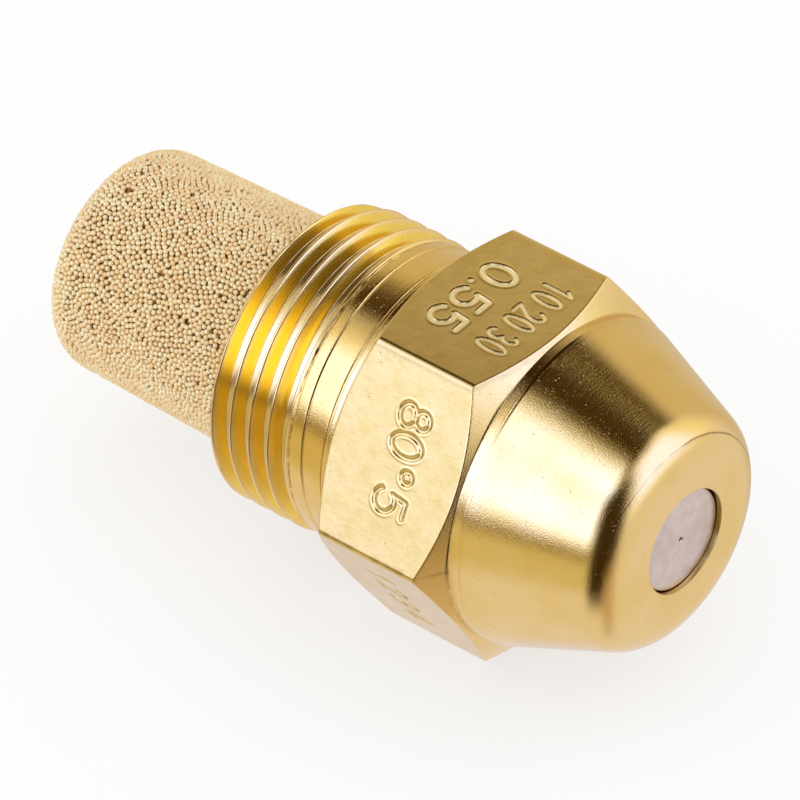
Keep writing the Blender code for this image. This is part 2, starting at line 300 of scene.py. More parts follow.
def collar_rings(angles):
    """Run-out groove with its burr, a thin ring, the collar and the seam before the band."""
    lead = tool_lead(angles)
    torn = 0.02 * MM * ripple(angles, 3, (9, 17, 29, 43, 67, 91), 0.9)
    burr = np.clip(0.05 * MM + torn, 0.01 * MM, 0.09 * MM)
    corners = [
        (THREAD_LENGTH, GROOVE_RADIUS),
        (THREAD_LENGTH + 0.02 * MM + 0.3 * lead, GROOVE_RADIUS),
        (THREAD_LENGTH + 0.06 * MM + 0.4 * lead, GROOVE_RADIUS + 0.01 * MM + burr),
        (THREAD_LENGTH + 0.17 * MM + 0.5 * lead + torn, GROOVE_RADIUS),
        (THREAD_LENGTH + 0.26 * MM + 0.5 * lead, RING_RADIUS),
        (RING_END - 0.15 * MM + lead, RING_RADIUS + 0.01 * MM),
        (RING_END - 0.07 * MM + lead, RING_FOOT_RADIUS),
        (RING_END - 0.02 * MM + lead, COLLAR_RADIUS - 0.03 * MM),
        (COLLAR_END - 0.14 * MM + 0.2 * lead, COLLAR_RADIUS),
        (COLLAR_END - 0.07 * MM + 0.1 * lead, SEAM_RADIUS),
        (COLLAR_END + 0.06 * MM, SEAM_RADIUS),
        (BAND_START, BAND_RADIUS),
    ]
    ease = [0.02 * MM, 0.015 * MM] + [0.02 * MM] * 8
    rows = [1, 2, 3, 2, 5, 3, 2, 10, 3, 3, 3]
    return plain_rings(eased_outline(corners, ease, rows)[1:], angles, BRASS_SHANK)


# ---- hexagon

def facing(flat):
    """Angle about the axis that a flat faces. Flats are counted round from +Y."""
    return np.radians(30 + 60 * flat)


def stroke(cx, cy, rx, ry, start, end, steps=22):
    """Points along an arc, from one angle to another in degrees."""
    turn = np.radians(np.linspace(start, end, steps))
    return np.stack([cx + rx * np.cos(turn), cy + ry * np.sin(turn)], axis=1)


def glyph(mark):
    """Strokes of a plain number or sign, one unit high."""
    shapes = {
        "0": [stroke(0.32, 0.5, 0.32, 0.5, 0, 360, 40)],
        "1": [[(0.10, 0.78), (0.34, 1.0), (0.34, 0.0)]],
        "2": [np.concatenate([stroke(0.32, 0.69, 0.31, 0.31, 165, -35), [(0.02, 0.0), (0.64, 0.0)]])],
        "3": [stroke(0.30, 0.75, 0.27, 0.25, 150, -90), stroke(0.30, 0.25, 0.31, 0.25, 90, -150)],
        "4": [[(0.44, 0.0), (0.44, 1.0), (0.0, 0.30), (0.64, 0.30)]],
        "5": [np.concatenate([[(0.58, 1.0), (0.12, 1.0), (0.07, 0.55)],
                              stroke(0.29, 0.33, 0.33, 0.33, 132, -150)])],
        "8": [stroke(0.32, 0.76, 0.25, 0.24, 0, 360), stroke(0.32, 0.27, 0.32, 0.27, 0, 360, 28)],
        ".": [[(0.10, 0.04), (0.10, 0.05)]],
        "o": [stroke(0.20, 0.80, 0.17, 0.17, 0, 360)],
    }
    return [np.array(line, float) for line in shapes[mark]]


def stamped_line(marks, places, foot, height, narrow=1.0):
    """Segments of a line of marks on a flat, from sizes in millimetres.

    Places are the marks' middles across the flat.
    """
    segments = []
    for mark, place in zip(marks, places):
        middle = {".": 0.10, "o": 0.20}.get(mark, 0.32)
        for line in glyph(mark):
            across = place + (line[:, 0] - middle) * height * narrow
            along = foot + line[:, 1] * height
            points = np.stack([across, along], axis=1)
            segments.append(np.concatenate([points[:-1], points[1:]], axis=1))
    return np.concatenate(segments) * MM


def gap_to(segments, across, along):
    """Distance from each place on a flat to the nearest of the segments."""
    nearest = np.full(across.shape, np.inf)
    for x0, y0, x1, y1 in segments:
        dx, dy = x1 - x0, y1 - y0
        along_part = ((across - x0) * dx + (along - y0) * dy) / max(dx * dx + dy * dy, 1e-18)
        part = np.clip(along_part, 0, 1)
        nearest = np.minimum(nearest, np.hypot(across - x0 - part * dx, along - y0 - part * dy))
    return nearest


def stamp_depth(gap, half_width, depth):
    """How far a stamped trough sinks: a round bottom, sloping walls and a slight swollen lip."""
    wall = np.clip((half_width - gap) / (0.65 * half_width), 0, 1)
    trough = depth * wall * wall * (3 - 2 * wall)
    return trough - 0.12 * depth * bump_at(gap, 1.3 * half_width, 0.35 * half_width)


def stamps():
    """Stamped lines as (segments, half width, depth), keyed by the number of their flat."""
    bold, light, worn = 0.135 * MM, 0.09 * MM, 0.11 * MM
    rating = stamped_line("0.55", (-1.81, -0.80, 0.22, 1.74), 8.70, 1.66)
    scale = stamped_line("102030", (-2.52, -1.74, -0.62, 0.16, 1.28, 2.06), 11.50, 1.50, 0.55)
    angle = stamped_line("80o5", (-2.12, -0.80, 0.50, 1.86), 10.22, 1.62)
    faint = stamped_line("1234", (-2.2, -0.7, 0.8, 2.3), 9.80, 1.4, 0.9)
    top = [(rating, bold, 0.08 * MM), (scale, light, 0.06 * MM)]
    return {1: top, 2: [(angle, bold, 0.07 * MM)], 3: [(faint, worn, 0.05 * MM)]}


def flat_places(step):
    """Places across one flat from its middle to its corner, close together at the corner."""
    off_corner = np.array([1.1, 0.8, 0.56, 0.38, 0.26, 0.19, 0.14, 0.10, 0.065, 0.04, 0.015])
    cluster = FLAT_HALF_WIDTH - off_corner * MM
    if step < PLAIN_STEP:
        middle = np.append(np.arange(0, STAMPED_END - step, step), STAMPED_END)
    else:
        middle = np.linspace(0, cluster[0], int(cluster[0] / step) + 1)[:-1]
    half = np.concatenate([middle, cluster])
    return np.concatenate([-half[:0:-1], half])


def hexagon_columns():
    """Angles of the columns round the hexagon, with each one's flat and place across it."""
    across = [flat_places(STAMP_STEP if flat in (1, 2, 3) else PLAIN_STEP) for flat in range(6)]
    flats = np.repeat(range(6), [len(places) for places in across])
    places = np.concatenate(across)
    return facing(flats) + np.arctan2(places, HEX_APOTHEM), flats, places


def bar_radius(angles):
    """Radius of the hexagonal bar, with its corners rounded."""
    off_corner = np.abs((angles + HALF_SIDE) % (2 * HALF_SIDE) - HALF_SIDE)
    plain = HEX_APOTHEM / np.cos(HALF_SIDE - off_corner)
    centre = (HEX_APOTHEM - CORNER_ROUND) / math.cos(HALF_SIDE)
    reach = math.atan2(CORNER_ROUND * 0.5, centre + CORNER_ROUND * math.cos(HALF_SIDE))
    inside = np.minimum(off_corner, reach)
    sway = centre * np.sin(inside)
    eased = centre * np.cos(inside) + np.sqrt(CORNER_ROUND ** 2 - sway ** 2)
    return np.where(off_corner < reach, eased, plain)


def chamfer_ends(radius):
    """Stations of the rear and the front chamfer at a radius."""
    rear = HEX_REAR + (radius - BAND_RADIUS) * math.tan(HEX_CHAMFER)
    front = HEX_FRONT - (radius - LAND_RADIUS) * math.tan(HEX_CHAMFER)
    return rear, front


def hexagon_outline(bar):
    """Rows from the band to the land, and the numbers of the first and last row on the flats."""
    rear, front = chamfer_ends(bar)
    flat_rows = int((front - rear).max() / (STAMP_STEP * 1.1))
    corners = [
        (BAND_START, BAND_RADIUS),
        (HEX_REAR, BAND_RADIUS),
        (rear, bar),
        (front, bar),
        (HEX_FRONT, LAND_RADIUS),
    ]
    band_rows, chamfer_rows = 5, 7
    rows = [band_rows, chamfer_rows, flat_rows, chamfer_rows + 1]
    first = 1 + band_rows + chamfer_rows + 2 * (EASE_STEPS + 1)
    made = eased_outline(corners, [0.02 * MM, EDGE_ROUND, EDGE_ROUND], rows)
    return made, first, first + flat_rows


def stamped_depths(marks, flats, places, station):
    """How deep the stamps sink each point of a row across the flats."""
    sunk = np.zeros(len(flats))
    for flat, lines in marks.items():
        here = flats == flat
        for segments, half_width, depth in lines:
            gap = gap_to(segments, places[here], station[here])
            sunk[here] += stamp_depth(gap, half_width, depth)
    return sunk


def hexagon_rings():
    """From the band behind the hexagon to the land in front of it."""
    angles, flats, places = hexagon_columns()
    outline, first, last = hexagon_outline(bar_radius(angles))
    marks = stamps()
    rings = []
    for index, (station, radius) in enumerate(outline):
        station = station + 0 * angles
        points = on_axis(station, radius, angles)
        if first <= index <= last:
            sunk = stamped_depths(marks, flats, places, station)
            points[:, 1] -= sunk * np.cos(facing(flats))
            points[:, 2] -= sunk * np.sin(facing(flats))
        slot = BRASS_FLAT if first - 2 <= index < last + 2 else BRASS_TURNED
        rings.append((points, angles, slot))
    return rings


# ---- spray end and bores

def nose_outline():
    """Rows from the land over its groove, the taper and the round edge to the spray face."""
    face_radius = NOSE_BASE_RADIUS - NOSE_LENGTH * math.tan(NOSE_TAPER)
    centre_x = BODY_LENGTH - NOSE_EDGE
    centre_r = face_radius + NOSE_EDGE * math.tan(NOSE_TAPER) - NOSE_EDGE / math.cos(NOSE_TAPER)
    turn = np.linspace(math.pi / 2 - NOSE_TAPER, 0, EDGE_ROWS)
    edge = [(centre_x + NOSE_EDGE * math.cos(a), centre_r + NOSE_EDGE * math.sin(a)) for a in turn]
    corners = [
        (HEX_FRONT, LAND_RADIUS),
        (NOSE_BASE - 0.15 * MM, LAND_RADIUS),
        (NOSE_BASE - 0.10 * MM, LAND_RADIUS - 0.018 * MM),
        (NOSE_BASE - 0.02 * MM, NOSE_BASE_RADIUS - 0.008 * MM),
        (NOSE_BASE, NOSE_BASE_RADIUS),
        edge[0],
    ]
    ease = [0.02 * MM] * 3 + [0.04 * MM]
    return eased_outline(corners, ease, [6, 1, 2, 2, 26])[1:] + edge[1:]


def bore_outline(face_radius):
    """Rows from the spray face through the stepped bore to the rear face's outer edge."""
    corners = [
        (BODY_LENGTH, face_radius),
        (BODY_LENGTH, DISC_BORE_RADIUS),
        (DISC_SEAT, DISC_BORE_RADIUS),
        (DISC_SEAT, SCREW_BORE_RADIUS),
        (PLUG_BORE_END, SCREW_BORE_RADIUS),
        (PLUG_BORE_END, PLUG_BORE_RADIUS),
        (RECESS_DEPTH, PLUG_BORE_RADIUS),
        (RECESS_DEPTH, RECESS_RADIUS),
        (0.0, RECESS_RADIUS),
        (0.0, THREAD_RADIUS - THREAD_CHAMFER),
    ]
    ease = [0.05 * MM] + [EDGE_ROUND] * 6 + [0.08 * MM]
    return eased_outline(corners, ease, [8, 5, 3, 8, 3, 8, 3, 4, 2])[1:-1]


def witness_line(angles):
    """Radius and strength of the broken line that the facing tool left round the nose's edge."""
    off_top = np.abs((angles - math.radians(45) + math.pi) % math.tau - math.pi)
    place = WITNESS_RADIUS + WITNESS_SWELL * np.clip(off_top / math.radians(85), 0, 1.6) ** 3
    place = place + 0.012 * MM * ripple(angles, 8, (5, 11, 23, 37, 53))
    fade = np.clip(1.6 - off_top / math.radians(60), 0, 1)
    return place, fade * np.clip(0.85 + 0.5 * ripple(angles, 5, (3, 7, 13, 31)), 0.15, 1)


def nose_rings(angles):
    """The spray end: a small burr beside the land's groove, and the witness line on the edge."""
    place, seen = witness_line(angles)
    burr = np.clip(0.4 + ripple(angles, 9, (61, 87, 119)), 0, 1)
    burr = 0.05 * MM * bump_at(np.degrees(angles), 99.5, 2.6) * burr
    outline = nose_outline()
    rings = []
    for station, radius in outline + bore_outline(outline[-1][1]):
        radius = radius + burr * bump_at(station, NOSE_BASE - 0.05 * MM, 0.07 * MM)
        line = bump_at(radius, place, 0.022 * MM)
        line = line - 0.5 * bump_at(radius, place - 0.05 * MM, 0.03 * MM)
        sunk = 0.022 * MM * line * seen * (BODY_LENGTH - NOSE_EDGE < station)
        points = on_axis(station - 0.8 * sunk, radius - 0.6 * sunk, angles)
        rings.append((points, angles, BRASS_TURNED))
    return rings


def window(value, low, high, soft):
    """1 between low and high, 0 outside, with soft ends."""
    rise = np.clip((value - low) / soft + 0.5, 0, 1)
    return rise * np.clip((high - value) / soft + 0.5, 0, 1)


def mesh_places(mesh):
    """The station of each point of a mesh, and its Y and Z from the axis."""
    places = np.empty(3 * len(mesh.vertices), np.float32)
    mesh.vertices.foreach_get("co", places)
    x, y, z = places.reshape(-1, 3).T.astype(float)
    return x - REAR_FACE, y, z - AXIS_HEIGHT


def stamped_share(station, y, z):
    """1 at the bottom of a stamped figure, 0 beside it, from how far it lies below its flat."""
    angles = np.arctan2(z, y)
    middle = facing(np.floor(np.degrees(angles) / 60))
    below = HEX_APOTHEM - (y * np.cos(middle) + z * np.sin(middle))
    rear, front = chamfer_ends(np.hypot(y, z))
    inside = (station > rear + 0.15 * MM) * (station < front - 0.15 * MM)
    inside = inside * (np.abs(angles - middle) < math.radians(24))
    return inside * np.clip((below - 0.012 * MM) / (0.035 * MM), 0, 1)


def nose_painted_shade(station, radius, degrees, rough):
    """Painted shade in the tool line, at the foot of the taper all round and most by the burr, on the land
    beside the burr and inside the rim of the disc's bore.
    """
    line, seen = witness_line(np.radians(degrees))
    # Painted shade in the groove of the tool line.
    marks = bump_at(radius, line, 0.03 * MM) * seen * (station > BODY_LENGTH - NOSE_EDGE)
    # Painted shade at the taper's foot all round, deeper there and on the land across the shaded angles.
    foot = bump_at(station, NOSE_BASE - 0.06 * MM, 0.06 * MM)
    marks += 0.8 * foot * window(degrees, *SHADED_LAND_DEGREES, 6) + 0.15 * foot * rough
    land = (station > HEX_FRONT) * (station < NOSE_BASE) * (radius > LAND_RADIUS - 0.05 * MM)
    marks += 0.35 * land * window(degrees, *SHADED_LAND_DEGREES, 8)
    # Painted shade inside the rim of the disc's bore, deepest on the side near 25 degrees.
    rim = window(station, BODY_LENGTH - 0.3 * MM, BODY_LENGTH, 0.03 * MM)
    rim = rim * (radius < DISC_BORE_RADIUS + 0.03 * MM)
    return marks + rim * (0.45 + 0.45 * bump_at(degrees, 25, 40))


def shank_painted_shade(station, radius, degrees, rough):
    """Painted shade along the torn edge of the run-out groove, deeper on one side, on one side of the
    ring's step and on the -Y side of the thread.
    """
    lead = tool_lead(np.radians(degrees))
    # Painted shade along the torn edge, deeper from 120 to 210 degrees.
    torn = bump_at(station, THREAD_LENGTH + 0.12 * MM + 0.5 * lead, 0.035 * MM)
    marks = torn * rough * (0.35 + 0.5 * window(degrees, 120, 210, 20))
    marks = marks * (radius > RECESS_RADIUS)
    # Painted shade at the ring's step, on one side only.
    ring = bump_at(station, RING_END - 0.06 * MM + lead, 0.04 * MM)
    marks += 0.12 * ring * window(degrees, 112, 200, 14) + 0.4 * ring * window(degrees, 150, 185, 14)
    # Painted shade on the -Y side of the thread.
    thread = (station < THREAD_LENGTH) * (radius > RECESS_RADIUS)
    return marks + 0.16 * thread * window(degrees, 152, 190, 12)


def hexagon_shade_and_marks(station, y, z, degrees, rough):
    """Painted shade on one side of both chamfers, in the figures on the flats past 120 degrees and over one
    side of the upper flat, with a darker line along the corner at 180 degrees.
    """
    # Painted shade along the front chamfer's edge and on the lower rear chamfer.
    marks = bump_at(station, HEX_FRONT, 0.04 * MM) * (0.25 + 0.3 * rough) * window(degrees, 112, 215, 20)
    outside = np.hypot(y, z) > LAND_RADIUS
    marks += 0.7 * outside * bump_at(station, HEX_REAR, 0.25 * MM) * window(degrees, 176, 214, 6) * rough
    # A darker broken line along the corner at 180 degrees.
    worn = np.clip(0.30 + 0.25 * ripple(station / MM, 12, (2.1, 4.7, 9.0)), 0, 1)
    marks += worn * bump_at(degrees, 179.4, 0.6) * outside
    # Painted shade in the figures on the flats past 120 degrees; the upper flat's figures get a painted
    # highlight instead.
    marks += 0.16 * stamped_share(station, y, z) * (degrees > 120)
    # Painted shade: the upper flat darkens more and more from 72 degrees towards its corner at 120 degrees.
    return marks + 0.24 * (z > 0.97 * HEX_APOTHEM) * np.clip((degrees - 72) / 48, 0, 1) ** 1.5


def add_share(mesh, name, share):
    """Keeps one number from 0 to 1 with each point of a mesh, for its material."""
    kept = mesh.attributes.new(name, "FLOAT", "POINT")
    kept.data.foreach_set("value", np.clip(share, 0, 1).astype(np.float32))


def mark_body(mesh):
    """Keeps the body's painted shade and marks, and the painted highlight on the bottoms of the upper
    flat's figures.
    """
    station, y, z = mesh_places(mesh)
    radius = np.hypot(y, z)
    angles = np.arctan2(z, y) % math.tau
    degrees = np.degrees(angles)
    rough = 0.5 + 0.5 * ripple(angles, 21, (7, 15, 31, 47, 71, 97, 131), 0.95)
    marks = nose_painted_shade(station, radius, degrees, rough)
    marks += shank_painted_shade(station, radius, degrees, rough)
    marks += hexagon_shade_and_marks(station, y, z, degrees, rough)
    add_share(mesh, "painted_shade_and_marks", marks)
    # Painted highlight: the bottoms of the upper flat's figures are marked to be made pale.
    add_share(mesh, "stamped", stamped_share(station, y, z) * (z > HEX_APOTHEM * 0.9))


def make_body(materials):
    """The whole brass body as one skin."""
    rings = thread_rings(round_axis(SHANK_COLUMNS))
    rings += collar_rings(round_axis(SHANK_COLUMNS))
    rings += hexagon_rings()[1:]
    rings += nose_rings(round_axis(NOSE_COLUMNS))
    mesh = skin("brass_body", rings)
    mark_body(mesh)
    add_piece(mesh, materials, "body", "brass", "nozzle_body")


# ---- orifice disc

DISC_SUNK = 0.10 * MM
PINHOLE_RADIUS = 0.10 * MM
PINHOLE_LENGTH = 1.20 * MM


def make_disc(material):
    """The disc that the spray leaves by, with a pinhole that opens into a cone behind."""
    front = disc_high.x - REAR_FACE - DISC_SUNK
    rear = disc_low.x - REAR_FACE
    spigot = DISC_BORE_RADIUS - SIDE_GAP
    flange = SCREW_BORE_RADIUS - SIDE_GAP
    shoulder = DISC_SEAT - SEAT_GAP
    corners = [
        (front - PINHOLE_LENGTH, PINHOLE_RADIUS),
        (front - 0.05 * MM, PINHOLE_RADIUS),
        (front, PINHOLE_RADIUS + 0.05 * MM),
        (front, spigot),
        (shoulder, spigot),
        (shoulder, flange),
        (rear, flange),
        (rear, 2.6 * MM),
        (front - PINHOLE_LENGTH, PINHOLE_RADIUS),
    ]
    ease = np.array([0.02, 0.03, 0.06, 0.03, 0.04, 0.04, 0.04]) * MM
    rows = eased_outline(corners, ease, [4, 1, 14, 5, 4, 5, 4, 6])[:-1]
    mesh = skin("steel_disc", plain_rings(rows, round_axis(144), 0))
    add_piece(mesh, [material], "body", "steel", "orifice_disc")


# ---- filter

FILTER_EDGE = 1.42 * MM
FILTER_TAPER = 0.27 * MM
FILTER_MOUTH_RADIUS = (filter_high.z - filter_low.z) / 2
FILTER_BORE_RADIUS = FILTER_MOUTH_RADIUS - 1.4 * MM
FILTER_END_WALL = 1.6 * MM
BEAD = 0.262 * MM
BEAD_SETS = 4
BEAD_SPREAD = 0.90
BEAD_SHAKE = 0.34
BEAD_REACH = 1.12
BEAD_PUSH = 0.30
BEAD_LEAST_GAP = 0.05
NEIGHBOURS = 8
SETTLING_ROUNDS = 16
ROUNDS_PER_SEARCH = 4
INNER_LAYER_DEPTH = 0.64 * BEAD
CORE_DEPTH = 1.15 * BEAD
GOLDEN_TURN = math.pi * (3 - math.sqrt(5))


def filter_outline():
    """The cup's outside as points (x, radius, lean of its normal), a hair's breadth apart."""
    taper = math.atan2(FILTER_TAPER, filter_high.x - filter_low.x)
    end_r = FILTER_MOUTH_RADIUS - FILTER_TAPER
    centre_x = filter_low.x + FILTER_EDGE
    centre_r = end_r + FILTER_EDGE * math.tan(taper) - FILTER_EDGE / math.cos(taper)
    side_x = np.linspace(filter_high.x, centre_x - FILTER_EDGE * math.sin(taper), 400)
    side_r = FILTER_MOUTH_RADIUS - (filter_high.x - side_x) * math.tan(taper)
    turn = np.linspace(math.pi / 2 + taper, math.pi, 60)
    cap_r = np.linspace(centre_r, 0, 160)[1:]
    cap_x = np.full(len(cap_r), filter_low.x)
    x = np.concatenate([side_x, centre_x + FILTER_EDGE * np.cos(turn[1:]), cap_x])
    r = np.concatenate([side_r, centre_r + FILTER_EDGE * np.sin(turn[1:]), cap_r])
    return x, r, np.pad(turn, (len(side_x) - 1, len(cap_r)), "edge")


def on_filter(outline, points):
    """The places on the filter's outside nearest to some points, and the directions out of it."""
    x, r, lean = outline
    turn = np.arctan2(points[:, 2], points[:, 1])
    radius = np.hypot(points[:, 1], points[:, 2])
    far = (points[:, :1] - x) ** 2 + (radius[:, None] - r) ** 2
    nearest = np.argmin(far, axis=1)
    x, r, lean = x[nearest], r[nearest], lean[nearest]
    return swept(x, r, turn), swept(np.cos(lean), np.sin(lean), turn)


def spiral_places(outline):
    """Places that cover the filter evenly, on a spiral from its mouth to its end."""
    x, r, _ = outline
    bands = np.hypot(np.diff(x), np.diff(r)) * math.pi * (r[1:] + r[:-1])
    area = np.concatenate([[0], np.cumsum(bands)])
    count = int(area[-1] / (BEAD_SPREAD * BEAD * BEAD))
    row = np.interp(area[-1] * (np.arange(count) + 0.5) / count, area, np.arange(len(x)))
    x, r = np.interp(row, np.arange(len(x)), x), np.interp(row, np.arange(len(x)), r)
    return swept(x, r, GOLDEN_TURN * np.arange(count))


def neighbours(points):
    """The numbers of the points that lie nearest to each point."""
    tree = KDTree(len(points))
    for index, point in enumerate(points):
        tree.insert(point, index)
    tree.balance()
    found = [tree.find_n(point, NEIGHBOURS + 1) for point in points]
    return np.array([[index for _, index, _ in nearest][1:] for nearest in found])


def settled_beads(rng):
    """Even places on the filter in no order: a spiral, shaken and then pushed apart."""
    outline = filter_outline()
    points = spiral_places(outline)
    points, outs = on_filter(outline, points + rng.normal(0, BEAD_SHAKE * BEAD, points.shape))
    for step in range(SETTLING_ROUNDS):
        if step % ROUNDS_PER_SEARCH == 0:
            near = neighbours(points)
        apart = points[:, None] - points[near]
        gap = np.maximum(np.linalg.norm(apart, axis=2), BEAD_LEAST_GAP * BEAD)
        push = np.clip(BEAD_REACH * BEAD - gap, 0, None) / gap
        points, outs = on_filter(outline, points + BEAD_PUSH * (apart * push[..., None]).sum(axis=1))
    return points, outs


def bead_layer(rng, depth, missing):
    """Centres, outward directions and radii of one layer of beads, some of them missing."""
    places, outs = settled_beads(rng)
    kept = rng.uniform(0, 1, len(places)) > missing
    places, outs = places[kept], outs[kept]
    radii = BEAD * 0.5 * rng.uniform(0.88, 1.04, len(places))
    sunk = radii + depth + BEAD * np.abs(rng.normal(0, 0.06, len(places)))
    return places - outs * sunk[:, None] + [0, 0, AXIS_HEIGHT], outs, radii


def bead_shape(levels, sides):
    """The outer side of a ball of radius one, as points and faces, with its pole along Z."""
    verts = [(0.0, 0.0, 1.0)]
    for level, angle in enumerate(np.radians(levels)):
        wide, high = math.sin(angle), math.cos(angle)
        for side in range(sides):
            turn = math.tau * (side + 0.5 * level) / sides
            verts.append((wide * math.cos(turn), wide * math.sin(turn), high))
    faces = []
    for side in range(sides):
        after = (side + 1) % sides
        faces.append((0, 1 + side, 1 + after))
        for level in range(len(levels) - 1):
            upper, lower = 1 + level * sides, 1 + (level + 1) * sides
            faces.append((upper + side, lower + side, upper + after))
            faces.append((upper + after, lower + side, lower + after))
    return np.array(verts), np.array(faces)


def bead_mesh(name, shape, centres, outs, radii, rng):
    """One mesh of many beads, each turned outwards, spun at random and given its own tone."""
    verts, faces = shape
    count = len(centres)
    helper = np.where(np.abs(outs[:, :1]) < 0.9, [[1.0, 0.0, 0.0]], [[0.0, 1.0, 0.0]])
    side = np.cross(outs, helper)
    side /= np.linalg.norm(side, axis=1)[:, None]
    up = np.cross(outs, side)
    spin = rng.uniform(0, math.tau, count)[:, None]
    first = side * np.cos(spin) + up * np.sin(spin)
    second = np.cross(outs, first)
    scaled = verts[None] * radii[:, None, None]
    points = (centres[:, None] + scaled[..., 0:1] * first[:, None]
              + scaled[..., 1:2] * second[:, None] + scaled[..., 2:3] * outs[:, None])
    corners = (faces[None] + (np.arange(count) * len(verts))[:, None, None]).ravel()
    mesh = raw_mesh(name, points.reshape(-1, 3), corners, np.arange(0, len(corners), 3))
    add_share(mesh, "bead_tone", np.repeat(rng.uniform(0, 1, count), len(verts)))
    return mesh


def make_beads(outer, inner):
    """An outer layer of beads in a few sets, and a plainer layer that shows between them, in bronze painted
    dark as shade.
    """
    rng = np.random.default_rng(7)
    centres, outs, radii = bead_layer(rng, 0.0, 0.002)
    turn = np.arctan2(centres[:, 2] - AXIS_HEIGHT, centres[:, 1]) % math.tau
    share = (turn / math.tau * BEAD_SETS).astype(int)
    fine = bead_shape([28, 54, 80, 108], 10)
    for index in range(BEAD_SETS):
        here = share == index
        name = f"filter_beads_{index + 1}"
        mesh = bead_mesh(name, fine, centres[here], outs[here], radii[here], rng)
        add_piece(mesh, [outer], "filter", "sintered_bronze")
    plain = bead_shape([38, 80], 7)
    layer = bead_layer(rng, INNER_LAYER_DEPTH, 0.03)
    mesh = bead_mesh("filter_beads_inner", plain, *layer, rng)
    add_piece(mesh, [inner], "filter", "sintered_bronze")


def make_filter_core(material):
    """The wall behind the beads: the cup's inside and a ground that shows in the pores, painted dark as
    shade.
    """
    rows = []
    for x, r, lean in list(zip(*filter_outline()))[:-1:6]:
        station = x - CORE_DEPTH * math.cos(lean) - REAR_FACE
        rows.append((station, max(r - CORE_DEPTH * math.sin(lean), 0.01 * MM)))
    end = filter_low.x - REAR_FACE + FILTER_END_WALL
    rows += [(end, 0.01 * MM), (end, FILTER_BORE_RADIUS - 0.3 * MM)]
    rows.append((filter_high.x - REAR_FACE, FILTER_BORE_RADIUS))
    core = skin("filter_core", plain_rings(rows, round_axis(160), 0))
    add_piece(core, [material], "filter", "sintered_bronze", "sintered_filter")


# ---- inner pieces

PLUG_THREAD_PITCH = 0.75 * MM
PLUG_CHAMFER = 0.3 * MM
PLUG_PASSAGE_RADIUS = 2.2 * MM


def make_plug(material):
    """The threaded plug that carries the filter: its thread shows once the filter is unscrewed."""
    front = plug_high.x - REAR_FACE
    rear = plug_low.x - REAR_FACE
    shoulder = RECESS_DEPTH + SEAT_GAP
    outer = PLUG_BORE_RADIUS - SIDE_GAP
    end_radius = outer - PLUG_CHAMFER
    spigot = FILTER_BORE_RADIUS - SIDE_GAP
    angles = round_axis(200)
    face = eased_outline([(shoulder, spigot), (shoulder, end_radius)], [], [3])
    rings = plain_rings(face, angles, 0)
    count = int((front - shoulder) / (1.3 * THREAD_ROW))
    for row in range(1, count):
        station = shoulder + (front - shoulder) * row / count
        radius = thread_radius(station, angles, outer, PLUG_THREAD_PITCH)
        limit = end_radius + np.minimum(front - station, station - shoulder)
        rings.append((on_axis(station, np.minimum(radius, limit), angles), angles, 0))
    back = [
        (front, end_radius),
        (front, PLUG_PASSAGE_RADIUS),
        (rear, PLUG_PASSAGE_RADIUS),
        (rear, spigot - PLUG_CHAMFER),
        (rear + PLUG_CHAMFER, spigot),
        (shoulder, spigot),
    ]
    back_rows = eased_outline(back, [0.05 * MM] * 4, [4, 10, 4, 2, 10])[:-1]
    mesh = skin("brass_plug", rings + plain_rings(back_rows, angles, 0))
    add_piece(mesh, [material], "filter", "brass", "filter_plug")


# ---- materials

BRASS_PALE = (0.93, 0.675, 0.26, 1)
BRASS_WARM = (0.90, 0.63, 0.20, 1)
BRASS_STAIN = (0.62, 0.38, 0.11, 1)
SHANK_PALE = (0.91, 0.63, 0.20, 1)
SHANK_WARM = (0.88, 0.58, 0.15, 1)
FLAT_PALE = (0.82, 0.59, 0.20, 1)
FLAT_WARM = (0.79, 0.555, 0.155, 1)
STAMP_PAINTED_HIGHLIGHT = (1.0, 0.84, 0.45, 1)
THREAD_PAINTED_BOUNCE = (0.96, 0.67, 0.10, 1)
# Colour that the body's painted shade and marks darken the brass towards.
BRASS_DARK = (0.16, 0.07, 0.02, 1)
STEEL_PALE = (0.78, 0.67, 0.54, 1)
STEEL_DULL = (0.70, 0.59, 0.47, 1)
BEAD_DULL = (0.96, 0.70, 0.34, 1)
BEAD_PALE = (1.0, 0.86, 0.50, 1)
BEAD_REDDISH = (0.86, 0.52, 0.24, 1)
SHADED_BEAD_DULL = (0.36, 0.17, 0.035, 1)
SHADED_BEAD_PALE = (0.62, 0.33, 0.08, 1)
PORE_SHADE_DARK = (0.10, 0.040, 0.008, 1)
PORE_SHADE_PALE = (0.42, 0.22, 0.06, 1)


